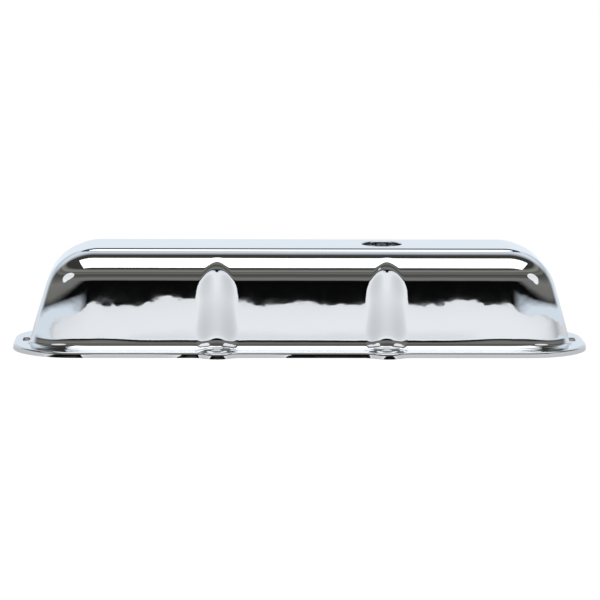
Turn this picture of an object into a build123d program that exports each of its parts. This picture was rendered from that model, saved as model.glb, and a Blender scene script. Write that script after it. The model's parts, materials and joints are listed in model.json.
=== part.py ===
"""Pressed steel valve cover for a V engine, with a splash baffle under its breather hole.

The cover lies as it is bolted to the cylinder head: X runs along the engine, +Z is up, and the
origin is the middle of the plane that the turned-down lip stands on. All sizes are millimetres.
"""

import os
from math import cos, radians, sin, sqrt, tan

from build123d import *

os.makedirs("parts", exist_ok=True)

# Sheet and overall height
sheet = 1.0
cover_height = 92.0

# Flange and its turned-down lip
flange_length = 513.0
flange_width = 142.0
flange_end_flat = 30.0
lip_height = 5.0
lip_bend = 2.5

# Hollow body, measured where its walls would meet the top of the flange
end_ledge = 13.2
side_ledge = 16.0
body_end_flat = 24.0
end_draft = 17.2
side_draft = 3.0
end_shoulder = 43.0
side_shoulder = 26.0
foot_radius = 6.0
wall_levels = 11
shoulder_levels = 9

# Raised pad along the top
pad_height = 3.2
pad_side_inset = 24.0
pad_end_inset = 68.3
pad_slope = 42.0
pad_edge_radius = 4.0
pad_end_radius = 46.0

# Cover bolts: two on each long side and one at each end
side_bolt_spacing = 150.0
side_bolt_inset = 10.0
end_bolt_inset = 11.5
bolt_hole = 8.0
seat_radius = 12.3
seat_height = 0.8
side_flute_radius = 15.0
end_flute_radius = 14.0
flute_edge_radius = 7.0
ear_radius = 18.0
ear_blend = 14.0

# Breather hole with its rolled-in collar
breather_x = 73.0
breather_hole = 31.8
collar_bend = 3.0
collar_depth = 8.0

# Splash baffle spot-welded under the pad
baffle_length = 118.0
baffle_side_gap = 7.0
baffle_drop = 18.0
baffle_flange = 16.0
baffle_bend = 3.0
baffle_sheet = 0.8

# Values that follow from the sizes above
crown_height = cover_height - pad_height
crown_corner = 2 * sheet
body_length = flange_length - 2 * end_ledge
body_width = flange_width - 2 * side_ledge
flange_corner = (flange_width - flange_end_flat) / 2
body_corner = (body_width - body_end_flat) / 2
pad_flat_length = body_length - 2 * pad_end_inset
pad_width = body_width - 2 * pad_side_inset
baffle_width = pad_width - 2 * baffle_side_gap
side_bolt_span = flange_width - 2 * side_bolt_inset
end_bolt_span = flange_length - 2 * end_bolt_inset
side_bolts = [(x * side_bolt_spacing / 2, y * side_bolt_span / 2) for x in (-1, 1) for y in (-1, 1)]
end_bolts = [(-end_bolt_span / 2, 0), (end_bolt_span / 2, 0)]
breather_plane = Plane(origin=(breather_x, 0, 0), x_dir=(1, 0, 0), z_dir=(0, -1, 0))


def half_size(z: float, foot_half: float, draft: float, shoulder: float, inset: float) -> float:
    """Half-width at height z of a wall that leans by its draft and rounds over to the crown."""
    lean = radians(draft)
    rise = z - crown_height + shoulder
    foot_rise = lip_height - crown_height + shoulder
    centre = foot_half - (shoulder - foot_rise * sin(lean)) / cos(lean)
    radius = shoulder - inset
    if rise <= radius * sin(lean):
        return centre + (radius - rise * sin(lean)) / cos(lean)
    return centre + sqrt(max(radius**2 - rise**2, 0))


def body_halves(z: float, inset: float) -> tuple[float, float]:
    """Half-length and half-width of the body at height z, drawn in by the inset."""
    half_length = half_size(z, body_length / 2, end_draft, end_shoulder, inset)
    half_width = half_size(z, body_width / 2, side_draft, side_shoulder, inset)
    return half_length, half_width


def body_levels(inset: float) -> list[float]:
    """Heights of the body's sections, evenly spaced up the wall and then around the shoulder."""
    radius = side_shoulder - inset
    centre_z = crown_height - side_shoulder
    wall_top = centre_z + radius * sin(radians(side_draft))
    wall = [wall_top * i / (wall_levels - 1) for i in range(wall_levels)]
    step = (90 - side_draft) / (shoulder_levels - 1)
    angles = [side_draft + step * i for i in range(1, shoulder_levels)]
    return wall + [centre_z + radius * sin(radians(angle)) for angle in angles]


def body_section(z: float, inset: float) -> Sketch:
    """Level section of the body, whose corners open from the shoulder's radius to the foot's."""
    below_shoulder = max(crown_height - side_shoulder - z, 0)
    share = below_shoulder / (crown_height - side_shoulder - lip_height)
    corner = side_shoulder + (body_corner - side_shoulder) * share
    half_length, half_width = body_halves(z, inset)
    core_length, core_width = body_halves(z, corner)
    x_radius = max(half_length - core_length, crown_corner)
    y_radius = max(half_width - core_width, crown_corner)
    x, y = half_length - x_radius, half_width - y_radius
    with BuildSketch(Plane.XY.offset(z)) as section:
        with BuildLine():
            EllipticalCenterArc((x, y), x_radius, y_radius, start_angle=0, arc_size=90)
            Line((x, half_width), (-x, half_width))
            EllipticalCenterArc((-x, y), x_radius, y_radius, start_angle=90, arc_size=90)
            Line((-half_length, y), (-half_length, -y))
            EllipticalCenterArc((-x, -y), x_radius, y_radius, start_angle=180, arc_size=90)
            Line((-x, -half_width), (x, -half_width))
            EllipticalCenterArc((x, -y), x_radius, y_radius, start_angle=270, arc_size=90)
            Line((half_length, -y), (half_length, y))
        make_face()
    return section.sketch


def flange_outline(inset: float) -> Sketch:
    """Flange outline with an ear around each side bolt, drawn in by the inset."""
    with BuildSketch() as outline:
        RectangleRounded(flange_length, flange_width, flange_corner)
        with Locations(*side_bolts):
            Circle(ear_radius)
        ear_end = (side_bolt_spacing + flange_length) / 4
        fillet(outline.vertices().filter_by(lambda v: abs(v.X) < ear_end), ear_blend)
        offset(amount=-inset)
    return outline.sketch


def pad_block(inset: float) -> Part:
    """Raised pad with sloped sides and rounded ends, rooted in the crown below it."""
    top = cover_height - inset
    root = cover_height - side_shoulder
    slope = tan(radians(pad_slope))
    edge_half = pad_width / 2 - inset * tan(radians(pad_slope / 2))
    side_half = pad_width / 2 + 2 * pad_height / slope - inset
    side_top = top - (side_half - edge_half) * slope
    end_half = pad_flat_length / 2 + pad_end_radius - inset
    with BuildPart() as block:
        with BuildSketch(Plane.YZ) as across:
            with BuildLine():
                Polyline(
                    (-side_half, root), (-side_half, side_top), (-edge_half, top),
                    (edge_half, top), (side_half, side_top), (side_half, root), close=True,
                )
            make_face()
            fillet(across.vertices().group_by(Axis.Y)[-1], pad_edge_radius - inset)
        extrude(amount=flange_length / 2, both=True)
        with BuildSketch(Plane.XZ) as along:
            with Locations((0, top - end_half)):
                Rectangle(2 * end_half, 2 * end_half)
            fillet(along.vertices().group_by(Axis.Y)[-1], pad_end_radius - inset)
        extrude(amount=pad_width, both=True, mode=Mode.INTERSECT)
    return block.part


def pressing(inset: float) -> Part:
    """Solid filled form of the pressing, drawn in from its outer face by the inset."""
    with BuildPart() as form:
        for z in body_levels(inset):
            add(body_section(z, inset))
        loft()
        with BuildSketch():
            with Locations(*side_bolts):
                Circle(side_flute_radius + inset)
            with Locations(*end_bolts):
                Circle(end_flute_radius + inset)
        extrude(amount=cover_height, mode=Mode.SUBTRACT)
        flutes = form.faces().filter_by(GeomType.CYLINDER)
        fillet(flutes.edges().filter_by(GeomType.BSPLINE), flute_edge_radius - inset)
        add(pad_block(inset))
        with BuildSketch(Plane.XY.offset(-inset)):
            add(flange_outline(inset))
        extrude(amount=lip_height)
        flat = form.faces().filter_by(Axis.Z).sort_by(Axis.Z)[1]
        fillet(flat.inner_wires()[0].edges(), foot_radius + inset)
        flat = form.faces().filter_by(Axis.Z).sort_by(Axis.Z)[1]
        fillet(flat.outer_wire().edges(), lip_bend - inset)
        with BuildSketch(Plane.XY.offset(-inset)):
            with Locations(*side_bolts):
                Circle(seat_radius - inset)
        extrude(amount=lip_height + seat_height)
    return form.part


# Cover shell: one pressing with bolt holes and a breather hole whose edge is rolled in
with BuildPart() as cover_shell:
    add(pressing(0))
    add(pressing(sheet), mode=Mode.SUBTRACT)
    with Locations(*side_bolts, *end_bolts):
        Cylinder(bolt_hole / 2, 4 * lip_height, mode=Mode.SUBTRACT)
    bore = breather_hole / 2
    bend_radius = bore + collar_bend
    with Locations((breather_x, 0, cover_height)):
        Cylinder(bend_radius, collar_depth, mode=Mode.SUBTRACT)
    bend_top = cover_height - collar_bend
    collar_end = cover_height - collar_depth
    with BuildSketch(breather_plane):
        with BuildLine():
            CenterArc((bend_radius, bend_top), collar_bend, 90, 90)
            Polyline(
                (bore, bend_top), (bore, collar_end),
                (bore + sheet, collar_end), (bore + sheet, bend_top),
            )
            CenterArc((bend_radius, bend_top), collar_bend - sheet, 90, 90)
            Line((bend_radius, cover_height - sheet), (bend_radius, cover_height))
        make_face()
    revolve(axis=Axis((breather_x, 0, 0), (0, 0, 1)))
cover_shell.part.label = "cover_shell"
export_step(cover_shell.part, "parts/cover_shell.step")

# Splash baffle: a strip bent like a hat, its two flanges flat against the underside of the pad
with BuildPart() as oil_baffle:
    seat = cover_height - sheet - baffle_sheet
    tray = seat - baffle_drop + baffle_sheet
    foot_x = baffle_length / 2
    leg_x = foot_x - baffle_flange
    with BuildSketch(breather_plane):
        with BuildLine():
            FilletPolyline(
                (-foot_x, seat), (-leg_x, seat), (-leg_x, tray),
                (leg_x, tray), (leg_x, seat), (foot_x, seat), radius=baffle_bend,
            )
            offset(amount=baffle_sheet, side=Side.LEFT)
        make_face()
    extrude(amount=baffle_width / 2, both=True)
oil_baffle.part.label = "oil_baffle"
export_step(oil_baffle.part, "parts/oil_baffle.step")
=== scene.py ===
"""Chrome valve cover: its pressing, its splash baffle and the small studio that it stands in.

Shapes are worked out in millimetres with numpy and written to the meshes in metres, in the frame of
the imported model: X along the engine, +Z up, the origin in the plane that the flange's lip stands on.
"""

import json
import logging
from dataclasses import dataclass, field
from enum import Enum
from math import cos, pi, radians, sin, tan

import bmesh
import bpy
import numpy as np
from mathutils import Matrix, Vector


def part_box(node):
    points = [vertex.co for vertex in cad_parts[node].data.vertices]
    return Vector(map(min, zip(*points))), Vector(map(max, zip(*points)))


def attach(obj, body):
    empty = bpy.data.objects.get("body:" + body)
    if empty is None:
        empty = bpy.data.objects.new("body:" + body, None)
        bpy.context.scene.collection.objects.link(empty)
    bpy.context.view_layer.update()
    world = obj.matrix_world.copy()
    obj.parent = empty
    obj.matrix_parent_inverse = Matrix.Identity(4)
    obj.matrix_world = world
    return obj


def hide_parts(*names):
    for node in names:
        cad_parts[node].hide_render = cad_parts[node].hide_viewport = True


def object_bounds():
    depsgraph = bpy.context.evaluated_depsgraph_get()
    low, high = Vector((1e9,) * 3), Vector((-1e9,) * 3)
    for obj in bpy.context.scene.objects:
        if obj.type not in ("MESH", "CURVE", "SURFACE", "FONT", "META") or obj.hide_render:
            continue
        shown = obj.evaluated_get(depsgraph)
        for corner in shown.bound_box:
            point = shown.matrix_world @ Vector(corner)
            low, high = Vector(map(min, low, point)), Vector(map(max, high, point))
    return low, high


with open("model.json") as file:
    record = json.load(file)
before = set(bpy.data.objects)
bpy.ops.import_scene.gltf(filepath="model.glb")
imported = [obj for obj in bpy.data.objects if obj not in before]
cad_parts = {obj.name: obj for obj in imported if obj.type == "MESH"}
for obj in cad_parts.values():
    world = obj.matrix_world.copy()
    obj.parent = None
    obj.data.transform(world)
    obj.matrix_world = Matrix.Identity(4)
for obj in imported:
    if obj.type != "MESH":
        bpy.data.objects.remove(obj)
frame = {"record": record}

Array = np.ndarray
Socket = bpy.types.NodeSocket
Tones = list[tuple[float, tuple[float, float, float]]]
CAD_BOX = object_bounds()
METRE = 0.001
LOG = logging.getLogger("valve_cover")


def onward(start: float, end: float, count: int) -> Array:
    """Evenly spaced values after start, up to and with end."""
    return np.linspace(start, end, count + 1)[1:]


def smooth_step(value: Array, start: float, end: float) -> Array:
    """Ease from 0 at start to 1 at end: 3t^2 - 2t^3 of the share t of the way between them.

    Args:
        value: where the ease is read.
        start: value that gives 0.
        end: value that gives 1, above or below start.

    Returns:
        The eased share, of the shape of value.
    """
    share = np.clip((value - start) / (end - start), 0.0, 1.0)
    return share * share * (3.0 - 2.0 * share)


def smooth_min(first: Array, second: Array, width: Array | float) -> Array:
    """Smaller of two fields, with the crease between them rounded off.

    The rounding takes w(1 - |a - b| / w)^2 / 4 off the smaller one where they differ by less than w.

    Args:
        first: field a.
        second: field b.
        width: difference w within which the two blend.

    Returns:
        The blended field.
    """
    near = np.clip(1.0 - np.abs(first - second) / width, 0.0, 1.0)
    return np.minimum(first, second) - width * near * near / 4.0


def smooth_max(first: Array, second: Array, width: Array | float) -> Array:
    """Larger of two fields with a rounded crease: the negative of smooth_min of their negatives."""
    return -smooth_min(-first, -second, width)


def grey(tone: float) -> tuple[float, float, float, float]:
    """Opaque grey of one tone."""
    return tone, tone, tone, 1.0


@dataclass
class Patchwork:
    """Grids of points whose borders coincide, sewn into one mesh."""

    merge_within: float = 0.02
    points: list[Array] = field(default_factory=list)
    quads: list[Array] = field(default_factory=list)
    count: int = 0

    def add_grid(self, grid: Array, closed: bool = False, keep: Array | None = None) -> None:
        """Add a grid. Seen from its outer side, rows follow each other to the left of the columns' run.

        Args:
            grid: points of shape (rows, columns, 3), in millimetres.
            closed: whether the last column joins the first.
            keep: mask of the cells that get a face, or None for all.
        """
        rows, columns = grid.shape[:2]
        index = self.count + np.arange(rows * columns).reshape(rows, columns)
        if closed:
            index = np.concatenate([index, index[:, :1]], axis=1)
        corners = index[:-1, :-1], index[:-1, 1:], index[1:, 1:], index[1:, :-1]
        cells = np.stack(corners, axis=-1)
        self.quads.append(cells[keep] if keep is not None else cells.reshape(-1, 4))
        self.points.append(grid.reshape(-1, 3))
        self.count += rows * columns

    def to_mesh(self, name: str) -> bpy.types.Mesh:
        """Write all grids to one mesh and merge the points that coincide.

        Args:
            name: the mesh's name.

        Returns:
            The mesh, smooth shaded.
        """
        corners = np.concatenate(self.quads).astype(np.int32)
        places = np.concatenate(self.points) * METRE
        mesh = bpy.data.meshes.new(name)
        mesh.vertices.add(len(places))
        mesh.vertices.foreach_set("co", places.astype(np.float32).ravel())
        mesh.loops.add(corners.size)
        mesh.loops.foreach_set("vertex_index", corners.ravel())
        mesh.polygons.add(len(corners))
        mesh.polygons.foreach_set("loop_start", np.arange(0, corners.size, 4, dtype=np.int32))
        mesh.polygons.foreach_set("loop_total", np.full(len(corners), 4, dtype=np.int32))
        mesh.update(calc_edges=True)
        sewn = bmesh.new()
        sewn.from_mesh(mesh)
        bmesh.ops.remove_doubles(sewn, verts=sewn.verts, dist=self.merge_within * METRE)
        sewn.to_mesh(mesh)
        sewn.free()
        mesh.shade_smooth()
        return mesh


@dataclass(frozen=True)
class SheetMetal:
    """Thickens a surface into sheet metal, towards the side that its faces turn their backs to."""

    thickness: float
    sharp_angle: float = 40.0

    def make(self, name: str, surface: bpy.types.Mesh, coats: list[bpy.types.Material]) -> bpy.types.Object:
        """Make a sheet with the first coat outside and on the edges, and the last one inside.

        Args:
            name: the piece's name.
            surface: the outer surface.
            coats: the piece's materials.

        Returns:
            The finished piece, in the scene.
        """
        for coat in coats:
            surface.materials.append(coat)
        draft = bpy.data.objects.new(name + "_draft", surface)
        bpy.context.scene.collection.objects.link(draft)
        solidify = draft.modifiers.new("sheet", "SOLIDIFY")
        solidify.thickness = self.thickness * METRE
        solidify.offset = -1.0
        solidify.material_offset = len(coats) - 1
        bpy.context.view_layer.update()
        ready = draft.evaluated_get(bpy.context.evaluated_depsgraph_get())
        mesh = bpy.data.meshes.new_from_object(ready)
        bpy.data.objects.remove(draft)
        bpy.data.meshes.remove(surface)
        mesh.name = name
        mesh.set_sharp_from_angle(angle=radians(self.sharp_angle))
        piece = bpy.data.objects.new(name, mesh)
        bpy.context.scene.collection.objects.link(piece)
        return piece


class NodeBoard:
    """Lays out the nodes of one material or world."""

    def __init__(self, tree: bpy.types.NodeTree) -> None:
        """Empty the tree, ready for new nodes."""
        self.tree = tree
        tree.nodes.clear()

    def add(self, kind: str, inputs: dict | None = None, **settings) -> bpy.types.Node:
        """Add a node, set its properties and set or link its inputs.

        Args:
            kind: the node's type name without its ShaderNode prefix.
            inputs: a value, or an output socket to link, for each input's name or number.
            settings: the node's own properties.

        Returns:
            The new node.
        """
        node = self.tree.nodes.new("ShaderNode" + kind)
        for key, value in settings.items():
            setattr(node, key, value)
        for key, value in (inputs or {}).items():
            if isinstance(value, Socket):
                self.tree.links.new(value, node.inputs[key])
            else:
                node.inputs[key].default_value = value
        return node

    def math(self, operation: str, *values: float | Socket) -> Socket:
        """Work out one value from one, two or three others, and return its socket."""
        return self.add("Math", dict(enumerate(values)), operation=operation).outputs[0]

    def ease(self, value: Socket, span: tuple[float, float], top: float = 1.0) -> Socket:
        """Map a value in a straight line from 0 at the span's start to top at its end."""
        inputs = {"Value": value, "From Min": span[0], "From Max": span[1], "To Max": top}
        return self.add("MapRange", inputs).outputs[0]

    def mix(self, share: Socket, first: Socket, second: Socket) -> Socket:
        """Mix two shaders by the share of the second, and return the mixture's socket."""
        return self.add("MixShader", {0: share, 1: first, 2: second}).outputs[0]

    def ramp(self, value: Socket, stops: Tones) -> Socket:
        """Turn a value into a colour.

        Args:
            value: the value, from 0 to 1.
            stops: values in rising order, each with its colour.

        Returns:
            The colour's socket.
        """
        node = self.add("ValToRGB", {0: value})
        elements = node.color_ramp.elements
        while len(elements) < len(stops):
            elements.new(1.0)
        for element, (place, colour) in zip(elements, stops):
            element.position = place
            element.color = (*colour, 1.0)
        return node.outputs[0]


@dataclass(frozen=True)
class PlatedFinish:
    """Plated steel: a mirror that shows the sheet's slow waviness and a fine change of gloss.

    The waves' size and depth are millimetres. The gloss range is roughness, from brightest to dullest.
    """

    name: str
    colour: tuple[float, float, float]
    gloss_range: tuple[float, float]
    wave_size: float
    wave_depth: float
    wave_falloff: float = 0.38
    cloud_scale: float = 90.0
    cloud_span: tuple[float, float] = (0.3, 0.7)
    detail: float = 4.0

    def material(self) -> bpy.types.Material:
        """Make the material, on the piece's own coordinates.

        Returns:
            The material.
        """
        material = bpy.data.materials.new(self.name)
        material.use_nodes = True
        board = NodeBoard(material.node_tree)
        place = board.add("TexCoord").outputs["Object"]
        waves = board.add("TexNoise", {
            "Vector": place, "Scale": 1.0 / (self.wave_size * METRE),
            "Detail": self.detail, "Roughness": self.wave_falloff,
        })
        bump = board.add("Bump", {
            "Height": waves.outputs[0], "Strength": 1.0, "Distance": self.wave_depth * METRE,
        })
        cloud = board.add("TexNoise", {"Vector": place, "Scale": self.cloud_scale, "Detail": self.detail})
        gloss = board.add("MapRange", {
            "Value": cloud.outputs[0], "From Min": self.cloud_span[0], "From Max": self.cloud_span[1],
            "To Min": self.gloss_range[0], "To Max": self.gloss_range[1],
        })
        shader = board.add("BsdfPrincipled", {
            "Base Color": (*self.colour, 1.0), "Metallic": 1.0,
            "Roughness": gloss.outputs[0], "Normal": bump.outputs[0],
        })
        board.add("OutputMaterial", {"Surface": shader.outputs[0]})
        return material


@dataclass(frozen=True)
class Wall:
    """A pair of walls: half-size where they meet the flange's plane, lean, and radius of the shoulder."""

    foot: float
    draft: float
    shoulder: float


@dataclass
class CoverShell:
    """The pressing: hollow body with fluted sides, raised top pad, flange and turned-down lip.

    Sizes are millimetres and angles degrees. Counts of steps set how finely a stretch is meshed.
    """

    # Sheet and plain body
    sheet: float = 1.0
    crown_height: float = 90.8
    end_draft: float = 17.2
    side_draft: float = 3.0
    end_shoulder: float = 45.0
    side_shoulder: float = 27.0
    body_end_flat: float = 24.0
    corner_growth: float = 0.25

    # Swelling at the foot of the long walls: its X, then its length, rise and depth
    pucker_place: float = 176.0
    pucker_size: tuple[float, float, float] = (22.0, 18.0, 0.42)

    # Flutes: depth from the bolt's axis, edge blend low and high, width left at the hood, flare and its fade
    flute_depth: float = 14.6
    flute_edge: tuple[float, float] = (6.0, 5.0)
    flute_edge_heights: tuple[float, float] = (64.0, 80.0)
    flute_point: float = 0.6
    flute_point_heights: tuple[float, float] = (50.0, 86.0)
    flute_flare: tuple[float, float] = (1.6, 8.0)

    # Foot radii, and the distances at which those of the ends and flutes begin and are reached
    foot_radius: float = 6.0
    end_foot_radius: float = 3.6
    end_foot_span: tuple[float, float] = (45.0, 15.0)
    flute_foot_radius: float = 3.0
    side_flute_span: tuple[float, float] = (20.0, 13.0)
    end_flute_span: tuple[float, float] = (18.0, 11.0)
    lean_span: float = 10.0

    # Flange with an ear round each side bolt
    end_ledge: float = 13.2
    side_ledge: float = 16.0
    flange_end_flat: float = 30.0
    bolt_inset: float = 10.0
    ear_radius: float = 18.0
    ear_blend: float = 14.0

    # Turned-down lip: its lean and what a dent adds to it, and each dent's middle and half-length
    lip_height: float = 5.0
    lip_bend: float = 1.3
    lip_curl: float = 0.07
    lip_lean: tuple[float, float] = (3.2, 2.0)
    lip_dents: tuple[tuple[float, float], ...] = (
        (-222.0, 32.0), (-100.0, 14.0), (-73.0, 11.0), (24.0, 42.0), (79.0, 10.0),
    )
    lip_dent_ease: float = 7.0

    # Raised pad: rounded edge, two slopes, a drop of the given reach and steepness, rounded ends
    pad_inset: float = 24.0
    pad_edge: float = 1.5
    pad_slopes: tuple[float, float] = (39.3, 50.0)
    pad_facet: float = 1.3
    pad_drop: tuple[float, float] = (5.4, 4.0)
    pad_foot: float = 0.35
    pad_end_inset: float = 64.0
    pad_end_radius: float = 46.0

    # Bolt holes with a broken edge of the given width and depth, and raised seats round the side ones
    hole_edge: tuple[float, float] = (0.6, 0.3)
    hole_window: float = 11.5
    seat_radius: float = 12.0
    seat_height: float = 0.8
    seat_edge: float = 1.6
    seat_flat: float = 8.0
    seat_window: float = 21.5

    # Breather hole with its rolled-in collar
    rim_reach: float = 3.0
    rim_bend: float = 0.9
    collar_depth: float = 8.0
    breather_window: float = 28.5

    # Columns of a quarter: start, end and step of the spans beside a flute, then counts of steps
    flute_columns: tuple[tuple[float, float, float], ...] = (
        (0.0, 9.0, 1.5), (9.0, 19.0, 0.7), (19.0, 27.1, 1.6),
    )
    side_steps: int = 7
    run_steps: int = 14
    run_power: float = 1.5
    turn_steps: int = 30
    end_steps: int = 14

    # Rows from crown to lip: angles on the shoulder with the steps that follow each, then counts of steps
    shoulder_rows: tuple[tuple[float, int], ...] = ((90.0, 4), (83.0, 20), (67.0, 18))
    wall_steps: int = 13
    foot_steps: int = 7
    flange_steps: int = 9
    bend_steps: int = 6
    drop_steps: int = 4

    # Rings of the holes, as counts of steps
    window_steps: int = 3
    bevel_steps: int = 3
    seat_steps: int = 6
    rim_steps: int = 7
    collar_steps: int = 5

    def __post_init__(self) -> None:
        """Take the overall sizes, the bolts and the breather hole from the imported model."""
        top = CAD_BOX[1]
        mounts = {mount["name"]: mount for mount in frame["record"]["mounts"]}
        sides, ends = mounts["side_bolts"]["dims"], mounts["end_bolts"]["dims"]
        breather = mounts["breather_hole"]
        self.height = top.z / METRE
        self.half_length = top.x / METRE
        self.bolt_x = sides["spacing_x_mm"] / 2
        self.bolt_y = sides["spacing_y_mm"] / 2
        self.end_bolt_x = ends["spacing_x_mm"] / 2
        self.hole_radius = sides["hole_r_mm"]
        self.breather_x = breather["pos_m"][0] / METRE
        self.breather_radius = breather["dims"]["r_mm"]
        self.half_width = self.bolt_y + self.bolt_inset
        self.foot_length = self.half_length - self.end_ledge
        self.foot_width = self.half_width - self.side_ledge
        self.ends = Wall(self.foot_length, self.end_draft, self.end_shoulder)
        self.sides = Wall(self.foot_width, self.side_draft, self.side_shoulder)

    def arc_centre(self, wall: Wall) -> float:
        """Distance of a shoulder's axis from the middle plane, so that its arc is tangent to the wall.

        Args:
            wall: the wall below the shoulder.

        Returns:
            The distance.
        """
        lean = radians(wall.draft)
        foot_rise = self.lip_height - self.crown_height + wall.shoulder
        return wall.foot - (wall.shoulder - foot_rise * sin(lean)) / cos(lean)

    def half_size(self, z: Array, wall: Wall) -> Array:
        """Half-size of the body at height z: a leaning wall that rounds over in an arc to the crown.

        Args:
            z: heights.
            wall: the wall.

        Returns:
            Half-sizes, of the shape of z.
        """
        lean = radians(wall.draft)
        centre = self.arc_centre(wall)
        rise = z - self.crown_height + wall.shoulder
        straight = centre + (wall.shoulder - rise * sin(lean)) / cos(lean)
        arc = centre + np.sqrt(np.maximum(wall.shoulder**2 - rise * rise, 0.0))
        return np.where(rise <= wall.shoulder * sin(lean), straight, arc)

    def stations(self) -> tuple[Array, Array, Array, Array]:
        """Places of a quarter's columns, closest together around the flutes.

        Returns:
            X along the side, shares of the way on to the corner, angles round it, shares of the end.
        """
        near = np.concatenate([np.arange(*span) for span in self.flute_columns])
        flute = np.concatenate([self.bolt_x - near[:0:-1], self.bolt_x + near])
        side = np.concatenate([np.linspace(0.0, flute[0], self.side_steps, endpoint=False), flute])
        run = 1.0 - (1.0 - onward(0.0, 1.0, self.run_steps)) ** self.run_power
        return side, run, onward(pi / 2, 0.0, self.turn_steps), onward(1.0, 0.0, self.end_steps)

    def quarter(self, z: Array) -> tuple[Array, Array]:
        """Level sections of one quarter of the plain body: side, elliptical corner and half the end.

        A corner reaches as far as the shoulders do. Below the side's shoulder it grows on, in X in a
        straight line and in Y by s^2 (2 - s) of the share s of the way down, to the end's flat.

        Args:
            z: heights of shape (rows, columns) or (rows, 1).

        Returns:
            X and Y of shape (rows, columns).
        """
        spring = self.crown_height - self.side_shoulder
        above, below = np.maximum(z, spring), np.maximum(spring - z, 0.0)
        share = below / (spring - self.lip_height)
        growth = self.foot_width - self.body_end_flat / 2 - self.side_shoulder
        corner_x = self.half_size(above, self.ends) - self.arc_centre(self.ends)
        corner_x = corner_x + self.corner_growth * below
        corner_y = self.half_size(above, self.sides) - self.arc_centre(self.sides)
        corner_y = corner_y + growth * share * share * (2.0 - share)
        length, width = self.half_size(z, self.ends), self.half_size(z, self.sides)
        side, run, turn, across = self.stations()
        stops = np.cumsum([len(side), len(run), len(turn), len(across)])
        on_side, on_run, on_turn, on_end = (slice(*pair) for pair in zip([0, *stops[:-1]], stops))
        fields = length, width, length - corner_x, width - corner_y
        length, width, core_x, core_y = (np.broadcast_to(v, (len(z), stops[-1])) for v in fields)
        x, y = length.copy(), width.copy()
        x[:, on_side] = side
        x[:, on_run] = side[-1] + (core_x[:, on_run] - side[-1]) * run
        x[:, on_turn] = core_x[:, on_turn] + (length - core_x)[:, on_turn] * np.cos(turn)
        y[:, on_turn] = core_y[:, on_turn] + (width - core_y)[:, on_turn] * np.sin(turn)
        y[:, on_end] = core_y[:, on_end] * across
        return x, y

    @staticmethod
    def unfold(x: Array, y: Array) -> Array:
        """Mirror a quarter's columns into the whole ring, clockwise from the middle of the far side.

        Args:
            x: X of shape (rows, columns).
            y: Y of shape (rows, columns).

        Returns:
            Points of shape (rows, 4 * columns - 4, 2).
        """
        go, back = slice(0, -1), slice(None, 0, -1)
        ring_x = [x[:, go], x[:, back], -x[:, go], -x[:, back]]
        ring_y = [y[:, go], -y[:, back], -y[:, go], y[:, back]]
        return np.stack([np.concatenate(ring_x, axis=1), np.concatenate(ring_y, axis=1)], axis=-1)

    @staticmethod
    def groove(across: Array, along: Array, axis: float, depth: Array, half: Array, edge: Array) -> Array:
        """Press an upright groove into a wall: the smooth minimum of the wall and a parabola in plan.

        The parabola is deepest beside the axis, and has come back by half its depth at the half-width.

        Args:
            across: the wall's distance from the middle plane.
            along: distance along the wall from the groove's axis.
            axis: the axis's distance from the middle plane.
            depth: distance from the axis to the groove's bottom.
            half: the groove's half-width.
            edge: width of the blend at the groove's edge.

        Returns:
            The wall's new distance from the middle plane.
        """
        bottom = axis - depth * (1.0 - (along / half) ** 2 / 2.0)
        return smooth_min(across, bottom, edge)

    def flute(self, ring: Array, z: Array) -> Array:
        """Press the side and end flutes into rings of the plain body, and swell the long walls' foot.

        A flute eases to a narrower width as it climbs, which makes the hood's point. Near the flange it
        is less deep, by a flare that falls off with height as an exponential.

        Args:
            ring: plan points of shape (rows, columns, 2).
            z: their heights.

        Returns:
            The fluted points.
        """
        x, y = np.abs(ring[..., 0]), np.abs(ring[..., 1])
        low, high = self.flute_edge
        edge = low + (high - low) * smooth_step(z, *self.flute_edge_heights)
        narrow = 1.0 + (self.flute_point - 1.0) * smooth_step(z, *self.flute_point_heights)
        flare, fade = self.flute_flare
        depth = self.flute_depth - flare * np.exp((self.lip_height - z) / fade)
        sides = self.groove(y, x - self.bolt_x, self.bolt_y, depth, depth * narrow, edge)
        sides = sides + self.pucker(x, z)
        ends = self.groove(x, y, self.end_bolt_x, depth, depth * narrow, edge)
        return np.stack([np.copysign(ends, ring[..., 0]), np.copysign(sides, ring[..., 1])], axis=-1)

    def pucker(self, x: Array, z: Array) -> Array:
        """Swelling of the long walls' foot where the corners begin.

        It is a bell curve along X times the square of a straight fall with height.

        Args:
            x: distances along the cover from its middle.
            z: heights.

        Returns:
            How far the wall comes out.
        """
        length, rise, depth = self.pucker_size
        bell = np.exp(-(((x - self.pucker_place) / length) ** 2))
        return depth * bell * np.clip(1.0 - (z - self.lip_height) / rise, 0.0, 1.0) ** 2

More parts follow.
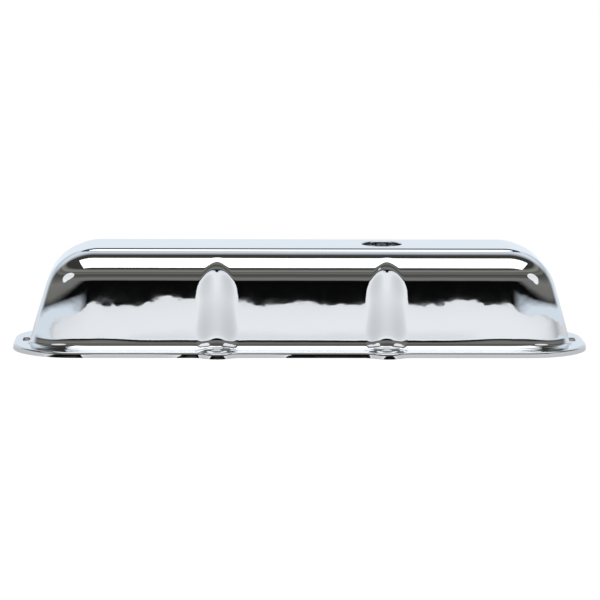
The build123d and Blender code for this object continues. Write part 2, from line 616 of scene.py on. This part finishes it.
    def pad_surface(self, x: Array, y: Array, z: Array) -> Array:
        """Raise the crown to the pad: the smooth maximum of the crown and a block with sloped sides.

        Across, the block has a flat top, an arc at its edge, two straight slopes and then a steep drop
        that takes it below the crown. Along, it falls off at both ends in an arc.

        Args:
            x: X of the crown's points.
            y: Y of the crown's points.
            z: the crown's heights.

        Returns:
            The new heights.
        """
        x, y = np.abs(x), np.abs(y)
        first, second = (tan(radians(slope)) for slope in self.pad_slopes)
        edge = self.foot_width - self.pad_inset
        start = edge - self.pad_edge * tan(radians(self.pad_slopes[0] / 2))
        turned = start + self.pad_edge * sin(radians(self.pad_slopes[0]))
        on_arc = np.clip(y - start, 0.0, turned - start)
        fall = self.pad_edge - np.sqrt(np.maximum(self.pad_edge**2 - on_arc**2, 0.0))
        fall = fall + first * np.maximum(y - turned, 0.0)
        fall = fall + (second - first) * np.maximum(y - turned - self.pad_facet, 0.0)
        fall = fall + self.pad_drop[1] * np.maximum(y - edge - self.pad_drop[0], 0.0)
        past = np.clip(x - self.foot_length + self.pad_end_inset, 0.0, self.pad_end_radius)
        end_fall = self.pad_end_radius - np.sqrt(self.pad_end_radius**2 - past**2)
        return smooth_max(z, self.height - fall - end_fall, self.pad_foot)

    def outline(self) -> Array:
        """Flange outline for the ring's columns: straight sides with ears, round corners, flat ends.

        An ear is an arc about its bolt, joined to the side by an arc that turns the other way.

        Returns:
            Plan points of shape (columns, 2).
        """
        side, run, turn, across = self.stations()
        corner = self.half_width - self.flange_end_flat / 2
        corner_x, corner_y = self.half_length - corner, self.flange_end_flat / 2
        x = np.concatenate([side, side[-1] + (corner_x - side[-1]) * run])
        blend_y = self.half_width + self.ear_blend
        reach = np.sqrt((self.ear_radius + self.ear_blend) ** 2 - (blend_y - self.bolt_y) ** 2)
        meet = reach * self.ear_radius / (self.ear_radius + self.ear_blend)
        away = np.abs(x - self.bolt_x)
        ear = self.bolt_y + np.sqrt(np.maximum(self.ear_radius**2 - away**2, 0.0))
        blend = blend_y - np.sqrt(np.maximum(self.ear_blend**2 - (reach - away) ** 2, 0.0))
        y = np.where(away < meet, ear, np.where(away < reach, blend, self.half_width))
        quarter_x = [x, corner_x + corner * np.cos(turn), np.full(len(across), self.half_length)]
        quarter_y = [y, corner_y + corner * np.sin(turn), corner_y * across]
        return self.unfold(np.concatenate(quarter_x)[None], np.concatenate(quarter_y)[None])[0]

    @staticmethod
    def outward(ring: Array) -> Array:
        """Plan normals of a closed clockwise ring: its tangent turned a quarter to the left.

        Args:
            ring: plan points of shape (columns, 2).

        Returns:
            Unit normals of the same shape.
        """
        along = np.roll(ring, -1, axis=0) - np.roll(ring, 1, axis=0)
        normal = np.stack([-along[:, 1], along[:, 0]], axis=-1)
        return normal / np.linalg.norm(normal, axis=1, keepdims=True)

    def shoulder_heights(self) -> Array:
        """Heights of the shoulder's rows: the crown less r(1 - sin a), for angles a down to the wall.

        Returns:
            Heights from the crown to where the wall begins.
        """
        starts, steps = zip(*self.shoulder_rows)
        ends = [*starts[1:], self.side_draft]
        spans = [np.linspace(*span, endpoint=False) for span in zip(starts, ends, steps)]
        angles = np.radians(np.concatenate([*spans, [self.side_draft]]))
        return self.crown_height - self.side_shoulder * (1.0 - np.sin(angles))

    def body_rows(self, z: Array) -> Array:
        """Fluted rings of the body, with the pad raised on those near the crown.

        Args:
            z: heights of shape (rows, columns of a quarter).

        Returns:
            Points of shape (rows, columns, 3).
        """
        ring = self.unfold(*self.quarter(z))
        level = np.abs(self.unfold(z, z)[..., 0])
        fluted = self.flute(ring, level)
        raised = self.pad_surface(fluted[..., 0], fluted[..., 1], level)
        height = np.where(level > self.crown_height - self.side_shoulder, raised, level)
        return np.concatenate([fluted, height[..., None]], axis=-1)

    def foot_radii(self, ring: Array) -> Array:
        """Foot radius of each column: it eases from the sides to the ends, and to less in the flutes.

        Args:
            ring: plan points of the wall in the flange's plane, (columns, 2).

        Returns:
            Radii of shape (columns,).
        """
        x, y = np.abs(ring[:, 0]), np.abs(ring[:, 1])
        begin, reached = self.end_foot_span
        at_end = smooth_step(x, self.foot_length - begin, self.foot_length - reached)
        radius = self.foot_radius + (self.end_foot_radius - self.foot_radius) * at_end
        in_side = smooth_step(np.abs(x - self.bolt_x), *self.side_flute_span) * (y > self.flute_depth)
        in_end = smooth_step(y, *self.end_flute_span) * (x > self.end_bolt_x - 2 * self.flute_depth)
        return radius + (self.flute_foot_radius - radius) * np.maximum(in_side, in_end)

    def foot_rows(self, base: Array) -> Array:
        """Rows of the foot: an arc along the wall's plan normal, tangent to the wall and to the flange.

        Args:
            base: fluted rings in the flange's plane and one lean_span above it, (2, columns, 2).

        Returns:
            Points of shape (rows, columns, 3), from the wall's end down to the flange.
        """
        ring = base[0]
        normal = self.outward(ring)
        lean = np.arctan(np.sum((base[0] - base[1]) * normal, axis=1) / self.lean_span)
        radius = self.foot_radii(ring)
        centre = radius * (1.0 - np.sin(lean)) / np.cos(lean)
        angle = lean + (pi / 2 - lean) * np.linspace(0.0, 1.0, self.foot_steps + 1)[:, None]
        out = centre - radius * np.cos(angle)
        height = self.lip_height + radius * (1.0 - np.sin(angle))
        return np.concatenate([ring + normal * out[..., None], height[..., None]], axis=-1)

    def flange_rows(self, foot: Array) -> Array:
        """Rows from the foot to the lip's edge: a level flat, the lip's bend and its drop.

        The bend is an arc that ends at the lip's slant. The drop follows that slant, and hangs back from
        it by a small share near the bend.

        Args:
            foot: plan points of the foot's last row, (columns, 2).

        Returns:
            Points of shape (rows, columns, 3).
        """
        edge = self.outline()
        normal = self.outward(edge)
        inner = edge - normal * self.lip_bend
        flat = foot + (inner - foot) * onward(0.0, 1.0, self.flange_steps)[:, None, None]
        flat_z = np.full((*flat.shape[:2], 1), self.lip_height)
        slant = self.lip_slant(edge[:, 0])[:, None]
        angle = onward(0.0, 1.0, self.bend_steps)[:, None, None] * (pi / 2 - slant)
        bend = inner + normal * self.lip_bend * np.sin(angle)
        bend_z = self.lip_height - self.lip_bend * (1.0 - np.cos(angle))
        share = onward(0.0, 1.0, self.drop_steps)[:, None, None]
        fall = bend_z[-1] * share
        drop = bend[-1] + normal * fall * (1.0 - self.lip_curl * (1.0 - share)) * np.tan(slant)
        plan = np.concatenate([flat, bend, drop])
        return np.concatenate([plan, np.concatenate([flat_z, bend_z, bend_z[-1] - fall])], axis=-1)

    def lip_slant(self, x: Array) -> Array:
        """Outward slant of the lip along the cover, in radians, which eases up over each dent.

        Args:
            x: X of the lip's points.

        Returns:
            Slants, of the shape of x.
        """
        ease = self.lip_dent_ease
        spans = [(np.abs(x - middle), half) for middle, half in self.lip_dents]
        dented = sum(smooth_step(away, half + ease, half - ease) for away, half in spans)
        return np.radians(self.lip_lean[0] + self.lip_lean[1] * dented)

    def punch(self, border: Array, centre: tuple[float, float], radii: Array, heights: Array) -> Array:
        """Rings from a window's border to a round hole, each point keeping its own bearing.

        Args:
            border: the window's points in order, (columns, 3).
            centre: X and Y of the hole.
            radii: radius of each round ring, from the outside in.
            heights: height of each round ring.

        Returns:
            Rings of shape (rows, columns, 3), the border first.
        """
        offset = border[:, :2] - np.array(centre)
        away = np.linalg.norm(offset, axis=1)
        bearing = offset / away[:, None]
        share = onward(0.0, 1.0, self.window_steps)[:-1, None]
        between = away + (radii[0] - away) * share
        rise = border[:, 2] + (heights[0] - border[:, 2]) * share
        distance = np.concatenate([between, np.repeat(radii[:, None], len(away), axis=1)])
        level = np.concatenate([rise, np.repeat(heights[:, None], len(away), axis=1)])
        plan = np.array(centre) + bearing * distance[..., None]
        return np.concatenate([border[None], np.concatenate([plan, level[..., None]], axis=-1)])

    def hole_rings(self, seat: bool) -> tuple[Array, Array]:
        """Radii and heights of a bolt hole's rings: the raised seat's edge, its flat and a broken edge.

        The seat's edge climbs as a smooth step, and the hole's edge falls with the square of its share.

        Args:
            seat: whether the hole has a raised seat.

        Returns:
            Radii and heights.
        """
        bevel = np.linspace(0.0, 1.0, self.bevel_steps + 1)
        hole_r = self.hole_radius + self.hole_edge[0] * (1.0 - bevel)
        hole_z = -self.hole_edge[1] * bevel**2
        if not seat:
            return hole_r, self.lip_height + hole_z
        share = np.linspace(0.0, 1.0, self.seat_steps + 1)
        edge_r = self.seat_radius + self.seat_edge * (0.5 - share)
        edge_z = self.seat_height * smooth_step(share, 0.0, 1.0)
        radii = np.concatenate([edge_r, [self.seat_flat], hole_r])
        heights = np.concatenate([edge_z, [self.seat_height], hole_z + self.seat_height])
        return radii, self.lip_height + heights

    def bolts(self) -> list[tuple[tuple[float, float], bool]]:
        """Centres of the six bolt holes, and whether each has a raised seat."""
        sides = [((x * self.bolt_x, y * self.bolt_y), True) for x in (-1, 1) for y in (-1, 1)]
        return sides + [((x * self.end_bolt_x, 0.0), False) for x in (-1, 1)]

    @staticmethod
    def run_of(mask: Array) -> Array:
        """Indices of the one run of true columns on a ring, in ring order across its seam."""
        start = int(np.flatnonzero(mask & ~np.roll(mask, 1))[0])
        return (start + np.arange(int(mask.sum()))) % len(mask)

    def punch_bolts(self, patch: Patchwork, rows: Array, first: int, last: int) -> Array:
        """Cut a window into the flange round each bolt and fill it with rings down to the hole.

        Args:
            patch: takes the windows' rings.
            rows: all rings of the cover, (rows, columns, 3).
            first: the ring where the flange's flat begins.
            last: the ring where it ends.

        Returns:
            Mask of the cells between the rings that stay.
        """
        cells = np.ones((len(rows) - 1, rows.shape[1]), dtype=bool)
        for centre, seat in self.bolts():
            away = np.hypot(*(rows[last, :, :2] - np.array(centre)).T)
            window = self.run_of(away < (self.seat_window if seat else self.hole_window))
            cells[first:last, window[:-1]] = False
            border = np.concatenate([
                rows[first, window], rows[first + 1:last, window[-1]],
                rows[last, window[::-1]], rows[last - 1:first:-1, window[0]],
            ])
            patch.add_grid(self.punch(border, centre, *self.hole_rings(seat)), closed=True)
        return cells

    def crown(self, patch: Patchwork, ring: Array) -> None:
        """Fill the top ring with a level grid and punch the breather hole with its rolled-in collar.

        The rim is a tight quarter bend, then a straight collar with a narrow flat ring at its bottom.

        Args:
            patch: takes the grids.
            ring: the top ring's points, whose corners have shrunk to single points.
        """
        half_x, half_y = ring[:, 0].max(), ring[:, 1].max()
        far = ring[np.isclose(ring[:, 1], half_y)]
        end = ring[np.isclose(ring[:, 0], half_x)]
        # Rounding makes one of the places that differ by their last digits only
        xs, ys = np.unique(far[:, 0].round(6)), np.unique(end[:, 1].round(6))
        x, y = np.meshgrid(xs, ys)
        z = self.pad_surface(x, y, np.full_like(x, self.crown_height))
        grid = np.stack([x, y, z], axis=-1)
        inside = np.flatnonzero(np.abs(xs - self.breather_x) <= self.breather_window)
        keep = np.ones((len(ys) - 1, len(xs) - 1), dtype=bool)
        keep[:, inside[:-1]] = False
        patch.add_grid(grid, keep=keep)
        border = np.concatenate([
            grid[0, inside], grid[1:-1, inside[-1]], grid[-1, inside[::-1]], grid[-2:0:-1, inside[0]],
        ])
        turn = np.linspace(0.0, pi / 2, self.rim_steps + 1)
        bend = self.breather_radius + self.rim_reach - self.rim_bend * np.sin(turn)
        bend_z = self.height - self.rim_bend * (1.0 - np.cos(turn))
        bottom = self.height - self.collar_depth
        collar_z = onward(bend_z[-1], bottom, self.collar_steps)
        radii = np.concatenate([bend, np.full(len(collar_z), bend[-1]), [self.breather_radius]])
        heights = np.concatenate([bend_z, collar_z, [bottom]])
        patch.add_grid(self.punch(border, (self.breather_x, 0.0), radii, heights), closed=True)

    def surface(self) -> bpy.types.Mesh:
        """Sew the whole outer surface from rings, the crown's patch and the rings of the holes.

        Returns:
            The surface as a mesh.
        """
        columns = sum(len(part) for part in self.stations())
        low = self.lip_height + np.array([[0.0], [self.lean_span]])
        foot = self.foot_rows(self.flute(self.unfold(*self.quarter(low)), low))
        flange = self.flange_rows(foot[-1, :, :2])
        shoulder = np.repeat(self.shoulder_heights()[:, None], columns, axis=1)
        down = onward(0.0, 1.0, self.wall_steps)[:, None]
        wall = shoulder[-1] + (foot[0, :columns, 2] - shoulder[-1]) * down
        body = self.body_rows(np.concatenate([shoulder, wall]))
        rows = np.concatenate([body, foot[1:], flange])
        first = len(body) + len(foot) - 2
        patch = Patchwork()
        cells = self.punch_bolts(patch, rows, first, first + self.flange_steps)
        patch.add_grid(rows, closed=True, keep=cells)
        self.crown(patch, rows[0])
        LOG.info("cover surface: %d rings of %d points", len(rows), rows.shape[1])
        return patch.to_mesh("cover_surface")

    def build(self, outside: bpy.types.Material, inside: bpy.types.Material) -> bpy.types.Object:
        """Make the pressing in its plating and let it stand for its node.

        Args:
            outside: finish of the outer face.
            inside: finish of the inner face.

        Returns:
            The piece.
        """
        piece = SheetMetal(self.sheet).make("chrome_pressing", self.surface(), [outside, inside])
        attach(piece, "root")
        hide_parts("cover_shell")
        return piece


@dataclass
class OilBaffle:
    """The splash plate: a strip bent like a hat, spot-welded by its flanges under the top pad.

    Sizes are millimetres. Counts of steps set how finely a stretch is meshed.
    """

    sheet: float = 0.8
    flange: float = 16.0
    bend: float = 3.0
    weld_radius: float = 2.4
    weld_depth: float = 0.3
    welds_across: int = 3
    flat_steps: int = 13
    bend_steps: int = 6
    leg_steps: int = 7
    across_steps: int = 44

    def __post_init__(self) -> None:
        """Take the strip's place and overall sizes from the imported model."""
        low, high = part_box("oil_baffle")
        self.low = np.array(low) / METRE
        self.high = np.array(high) / METRE

    def profile(self) -> Array:
        """Lower face of the strip from end to end: flat runs joined by arcs of the bend radius.

        Returns:
            X and Z of shape (points, 2).
        """
        seat, tray = self.high[2] - self.sheet, self.low[2]
        start, stop = self.low[0], self.high[0]
        leg = start + self.flange
        angle = np.linspace(0.0, pi / 2, self.bend_steps + 1)
        out, up = self.bend * np.sin(angle), self.bend * np.cos(angle)
        over = np.stack([leg - self.bend + out, seat - self.bend + up], axis=-1)
        under = np.stack([leg + self.bend - up, tray + self.bend - out], axis=-1)
        flat = np.linspace(start, over[0, 0], self.flat_steps, endpoint=False)
        wall = onward(over[-1, 1], under[0, 1], self.leg_steps)[:-1]
        floor = onward(under[-1, 0], (start + stop) / 2, self.flat_steps)
        half = np.concatenate([
            np.stack([flat, np.full_like(flat, seat)], axis=-1), over,
            np.stack([np.full_like(wall, leg), wall], axis=-1), under,
            np.stack([floor, np.full_like(floor, tray)], axis=-1),
        ])
        mirrored = np.stack([start + stop - half[-2::-1, 0], half[-2::-1, 1]], axis=-1)
        return np.concatenate([half, mirrored])

    def surface(self) -> bpy.types.Mesh:
        """Carry the profile across the cover and press round weld marks into its flanges.

        A mark's depth falls off as exp(-d^4), where d is the distance from its middle in weld radii.

        Returns:
            The lower face as a mesh.
        """
        line = self.profile()
        across = np.linspace(self.low[1], self.high[1], self.across_steps + 1)
        x, y = np.meshgrid(line[:, 0], across, indexing="ij")
        z = np.repeat(line[:, 1:], len(across), axis=1)
        half = (self.high[1] - self.low[1]) / 2
        weld_y = np.linspace(-half, half, 2 * self.welds_across + 1)[1::2]
        inset = (self.flange - self.bend) / 2
        for mark_x in (self.low[0] + inset, self.high[0] - inset):
            for mark_y in weld_y:
                away = np.hypot(x - mark_x, y - mark_y) / self.weld_radius
                z = z + self.weld_depth * np.exp(-away**4)
        patch = Patchwork()
        patch.add_grid(np.stack([x, y, z], axis=-1))
        return patch.to_mesh("baffle_surface")

    def build(self, steel: bpy.types.Material) -> bpy.types.Object:
        """Make the strip in plain steel and let it stand for its node.

        Args:
            steel: the strip's finish.

        Returns:
            The piece.
        """
        piece = SheetMetal(self.sheet).make("splash_plate", self.surface(), [steel])
        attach(piece, "root")
        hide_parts("oil_baffle")
        return piece


class LampShape(Enum):
    """Outlines that a lamp's face can have."""

    RECTANGLE = "RECTANGLE"
    ELLIPSE = "ELLIPSE"


@dataclass(frozen=True)
class Lamp:
    """A soft lamp: its place and size in metres, the point it faces, and its brightness as seen."""

    name: str
    shape: LampShape
    place: tuple[float, float, float]
    aim: tuple[float, float, float]
    size: tuple[float, float]
    glow: float

    def build(self) -> bpy.types.Object:
        """Hang the lamp, with the power that gives its face the wanted brightness.

        Returns:
            The lamp.
        """
        light = bpy.data.lights.new(self.name, "AREA")
        light.shape = self.shape.value
        light.size, light.size_y = self.size
        filled = 1.0 if self.shape is LampShape.RECTANGLE else pi / 4
        light.energy = self.glow * self.size[0] * self.size[1] * filled * pi
        lamp = bpy.data.objects.new(self.name, light)
        facing = Vector(self.aim) - Vector(self.place)
        turn = facing.to_track_quat("-Z", "Y").to_matrix().to_4x4()
        lamp.matrix_world = Matrix.Translation(self.place) @ turn
        lamp.visible_camera = False
        bpy.context.scene.collection.objects.link(lamp)
        return lamp


@dataclass
class Studio:
    """Pale table, soft lamps, surroundings and the camera at the photo's angle.

    Places are metres and angles degrees. The pixel's size is millimetres.
    """

    # Camera, and the photo's scale, size and centre in pixels
    distance: float = 2.6
    elevation: float = 8.43
    yaw: float = -0.98
    roll: float = 0.33
    aside: float = -0.037
    aim_height: float = 0.047
    sensor: float = 36.0
    pixel: float = 0.9
    image: int = 600
    centre: tuple[float, float] = (300.1, 293.2)

    # Table top, the share of white that camera and chrome see on it, and a painted shade beside the cover,
    # in place of its shadow
    table_near: float = -1.1
    table_far: float = 0.6
    table_half: float = 2.5
    table_gap: float = 0.0002
    table_tone: float = 0.94
    white_glow: float = 1.3
    white_share: tuple[float, float] = (0.5, 0.27)
    painted_shade_span: tuple[float, float] = (0.45, 0.06)
    painted_shade_share: float = 0.42
    painted_shade_tone: float = 0.25

    # Surroundings, by the parts of a unit direction: the backdrop's start and the low cards beside it
    backdrop_span: tuple[float, float] = (0.32, 0.6)
    card_climb: float = 0.07
    card_heights: tuple[float, float] = (-0.042, -0.062)
    card_sides: tuple[float, float] = (0.17, 0.34)
    soft_tone: float = 0.9
    soft_strength: float = 0.6

    def camera(self) -> bpy.types.Object:
        """Set the camera where the photo's was, looking at the cover's middle.

        Returns:
            The camera.
        """
        yaw, tilt = radians(self.yaw), radians(self.elevation)
        right = Vector((cos(yaw), sin(yaw), 0.0))
        ahead = Vector((-sin(yaw) * cos(tilt), cos(yaw) * cos(tilt), -sin(tilt)))
        middle = Vector((0.0, 0.0, self.aim_height))
        place = middle + right * self.aside - ahead * self.distance
        turn = (middle - place).to_track_quat("-Z", "Y").to_matrix().to_4x4()
        data = bpy.data.cameras.new("camera")
        data.sensor_width = self.sensor
        data.lens = self.sensor * self.distance / (self.image * self.pixel * METRE)
        data.shift_x = (self.image / 2 - self.centre[0]) / self.image
        data.shift_y = (self.centre[1] - self.image / 2) / self.image
        camera = bpy.data.objects.new("camera", data)
        camera.matrix_world = Matrix.Translation(place) @ turn @ Matrix.Rotation(radians(self.roll), 4, "Z")
        bpy.context.scene.collection.objects.link(camera)
        bpy.context.scene.camera = camera
        return camera

    def table_paint(self) -> bpy.types.Material:
        """Paint the table pale.

        A share of its tone, to the camera and in the chrome, is the backdrop's white, so that both join.
        In the chrome alone, a painted shade grows towards the cover: a grey that stands in for the cover's
        shadow on the table.

        Returns:
            The material.
        """
        material = bpy.data.materials.new("table_white")
        material.use_nodes = True
        board = NodeBoard(material.node_tree)
        rays = board.add("LightPath").outputs
        paint = board.add("BsdfDiffuse", {"Color": grey(self.table_tone)}).outputs[0]
        white = board.add("Emission", {"Color": grey(1.0), "Strength": self.white_glow}).outputs[0]
        # Painted shade: a dark grey emission that only the chrome sees on the table, in place of the cover's
        # shadow beside it
        dark = board.add("Emission", {"Color": grey(self.painted_shade_tone), "Strength": 1.0}).outputs[0]
        seen = board.math("MULTIPLY", rays["Is Glossy Ray"], self.white_share[1])
        seen = board.math("MULTIPLY_ADD", rays["Is Camera Ray"], self.white_share[0], seen)
        place = board.add("SeparateXYZ", {0: board.add("TexCoord").outputs["Object"]}).outputs
        # The painted shade's share grows towards the cover, in glossy rays only
        near = board.ease(board.math("ABSOLUTE", place["Y"]), self.painted_shade_span, self.painted_shade_share)
        shade = board.math("MULTIPLY", near, rays["Is Glossy Ray"])
        board.add("OutputMaterial", {"Surface": board.mix(shade, board.mix(seen, paint, white), dark)})
        return material

    def table(self) -> bpy.types.Object:
        """Lay the table top, which ends in front of the cover where its reflection turns black.

        Returns:
            The table top.
        """
        near, far, half = self.table_near, self.table_far, self.table_half
        corners = [(-half, near), (half, near), (half, far), (-half, far)]
        mesh = bpy.data.meshes.new("table")
        mesh.from_pydata([(x, y, -self.table_gap) for x, y in corners], [], [(0, 1, 2, 3)])
        mesh.materials.append(self.table_paint())
        table = bpy.data.objects.new("table", mesh)
        bpy.context.scene.collection.objects.link(table)
        return table

    @staticmethod
    def by_height(board: NodeBoard, share: Socket, tones: Tones) -> Socket:
        """Colour by elevation in degrees, where share runs from 0 straight down to 1 straight up."""
        return board.ramp(share, [(0.5 + degree / 180.0, tone) for degree, tone in tones])

    def surroundings(self) -> None:
        """Colour the world: white to the camera, soft light on the table, and a room in reflections.

        The room is dark ahead of the cover and has a pale backdrop behind it. Low down on each side a
        card in the backdrop's tone climbs with the distance from the middle.
        """
        world = bpy.data.worlds.new("studio")
        bpy.context.scene.world = world
        world.use_nodes = True
        board = NodeBoard(world.node_tree)
        axes = board.add("SeparateXYZ", {0: board.add("TexCoord").outputs["Generated"]}).outputs
        share = board.math("MULTIPLY_ADD", board.math("ARCSINE", axes["Z"]), 1.0 / pi, 0.5)
        front = self.by_height(board, share, [
            (0.8, (0.003, 0.003, 0.003)), (3.0, (0.2, 0.195, 0.18)), (9.0, (0.23, 0.225, 0.21)),
            (14.0, (0.13, 0.125, 0.115)), (22.0, (0.08, 0.077, 0.07)), (27.0, (0.2, 0.19, 0.17)),
            (31.0, (0.12, 0.115, 0.1)), (36.0, (0.3, 0.29, 0.26)), (40.0, (0.2, 0.195, 0.175)),
            (44.0, (0.045, 0.045, 0.04)), (90.0, (0.06, 0.057, 0.05)),
        ])
        behind = self.by_height(board, share, [
            (-5.0, (0.86, 0.93, 1.0)), (8.0, (0.86, 0.93, 1.0)), (20.0, (0.6, 0.65, 0.7)),
            (32.0, (0.85, 0.92, 1.0)), (80.5, (0.85, 0.9, 0.97)), (83.0, (0.06, 0.06, 0.055)),
            (90.0, (0.04, 0.04, 0.037)),
        ])
        across = board.math("ABSOLUTE", axes["X"])
        climb = board.math("MULTIPLY_ADD", across, -self.card_climb, axes["Z"])
        low, aside = board.ease(climb, self.card_heights), board.ease(across, self.card_sides)
        backdrop = board.ease(axes["Y"], self.backdrop_span)
        pale = board.math("MAXIMUM", board.math("MULTIPLY", low, aside), backdrop)
        room = board.add("MixRGB", {0: pale, 1: front, 2: behind}).outputs[0]
        rays = board.add("LightPath").outputs
        mirrored = board.add("Background", {"Color": room, "Strength": 1.0}).outputs[0]
        fill = {"Color": grey(self.soft_tone), "Strength": self.soft_strength}
        soft = board.add("Background", fill).outputs[0]
        plain = board.add("Background", {"Color": grey(1.0), "Strength": 1.0}).outputs[0]
        lit = board.mix(rays["Is Glossy Ray"], soft, mirrored)
        board.add("OutputWorld", {"Surface": board.mix(rays["Is Camera Ray"], lit, plain)})

    @staticmethod
    def lamps() -> list[Lamp]:
        """List the lamps: one wide soft box overhead and an oval one on each side.

        Returns:
            The lamps.
        """
        above = (0.16, -0.525, 0.0)
        left, right = (-0.2, 0.0, 0.09), (0.2, 0.0, 0.09)
        return [
            Lamp("overhead_softbox", LampShape.RECTANGLE, (0.16, -0.525, 1.25), above, (1.85, 1.05), 1.8),
            Lamp("left_lamp", LampShape.ELLIPSE, (-1.516, -0.95, 0.623), left, (0.78, 0.66), 0.92),
            Lamp("right_lamp", LampShape.ELLIPSE, (1.528, -0.96, 0.581), right, (0.72, 0.66), 0.92),
        ]

    def build(self) -> None:
        """Put up the whole studio."""
        bpy.context.scene.view_settings.view_transform = "Standard"
        self.camera()
        self.table()
        self.surroundings()
        for lamp in self.lamps():
            lamp.build()


def main() -> None:
    """Build the cover, its baffle and the studio."""
    logging.basicConfig(level=logging.INFO, format="%(name)s: %(message)s")
    bright = PlatedFinish(
        "bright_chrome", colour=(0.73, 0.755, 0.785), gloss_range=(0.015, 0.03),
        wave_size=75.0, wave_depth=0.3,
    )
    dull = PlatedFinish(
        "dull_plating", colour=(0.55, 0.55, 0.54), gloss_range=(0.28, 0.42),
        wave_size=30.0, wave_depth=0.03,
    )
    plain = PlatedFinish(
        "plain_steel", colour=(0.26, 0.255, 0.245), gloss_range=(0.35, 0.5),
        wave_size=20.0, wave_depth=0.05,
    )
    pieces = [CoverShell().build(bright.material(), dull.material()), OilBaffle().build(plain.material())]
    for piece in pieces:
        LOG.info("%s: %d faces", piece.name, len(piece.data.polygons))
    Studio().build()


if __name__ == "__main__":
    main()
